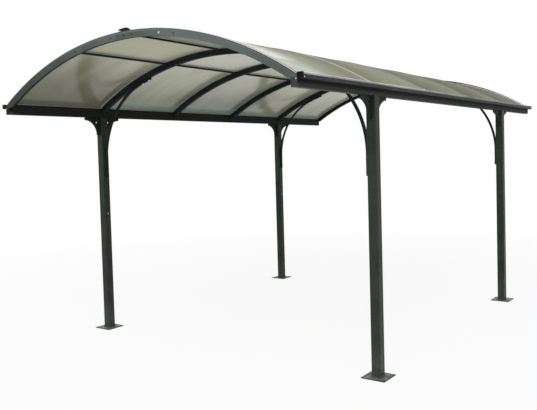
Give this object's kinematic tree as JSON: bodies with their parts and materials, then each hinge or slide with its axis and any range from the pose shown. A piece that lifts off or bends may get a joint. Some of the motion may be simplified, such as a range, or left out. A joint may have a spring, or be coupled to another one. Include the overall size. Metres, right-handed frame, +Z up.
{
  "type": "carport",
  "caption": "Open carport with an arched roof of translucent panels on curved ribs, carried by slim posts with curved braces, gussets and bolted base plates.",
  "frame": {"origin": "on the ground, at the middle of the roof's plan", "axes": "+X to the right seen from the front, +Y along the roof from front to rear, +Z up"},
  "size_m": [3.102, 5.012, 2.585],
  "materials": {
    "frame_paint": "satin powder coat, dark green grey, on aluminium",
    "edge_paint": "satin powder coat, blue green grey, on aluminium",
    "base_plate": "dull galvanised steel with dark edges",
    "roof_sheet": "smooth translucent bronze polycarbonate",
    "black_cap": "black moulded plastic",
    "bright_metal": "mill aluminium joint bars, trims and zinc screws"
  },
  "bodies": {
    "root": {"base_plate_front_left": "base_plate", "base_plate_front_right": "base_plate", "base_plate_rear_left": "base_plate", "base_plate_rear_right": "base_plate", "beam_end_blocks_left": "edge_paint", "beam_end_blocks_right": "edge_paint", "brace_front_left": "frame_paint", "brace_front_right": "frame_paint", "brace_rear_left": "frame_paint", "brace_rear_right": "frame_paint", "eave_beam_left": "frame_paint", "eave_beam_right": "frame_paint", "front_arch": "edge_paint", "front_edge_rail": "frame_paint", "glazing_bar_1": "bright_metal", "glazing_bar_2": "bright_metal", "glazing_bar_3": "bright_metal", "glazing_bar_4": "bright_metal", "gussets_front_left": "frame_paint", "gussets_front_right": "frame_paint", "gussets_rear_left": "frame_paint", "gussets_rear_right": "frame_paint", "gutter_end_caps_left": "black_cap", "gutter_end_caps_right": "black_cap", "gutter_left": "frame_paint", "gutter_right": "frame_paint", "post_front_left": "frame_paint", "post_front_right": "frame_paint", "post_rear_left": "frame_paint", "post_rear_right": "frame_paint", "purlin_left": "frame_paint", "purlin_ridge": "frame_paint", "purlin_right": "frame_paint", "rear_arch": "edge_paint", "rear_edge_rail": "frame_paint", "rib_1": "frame_paint", "rib_2": "frame_paint", "rib_3": "frame_paint", "rib_4": "frame_paint", "ridge_caps": "black_cap", "roof_panel_1": "roof_sheet", "roof_panel_2": "roof_sheet", "roof_panel_3": "roof_sheet", "roof_panel_4": "roof_sheet", "roof_panel_5": "roof_sheet"}
  },
  "joints": []
}
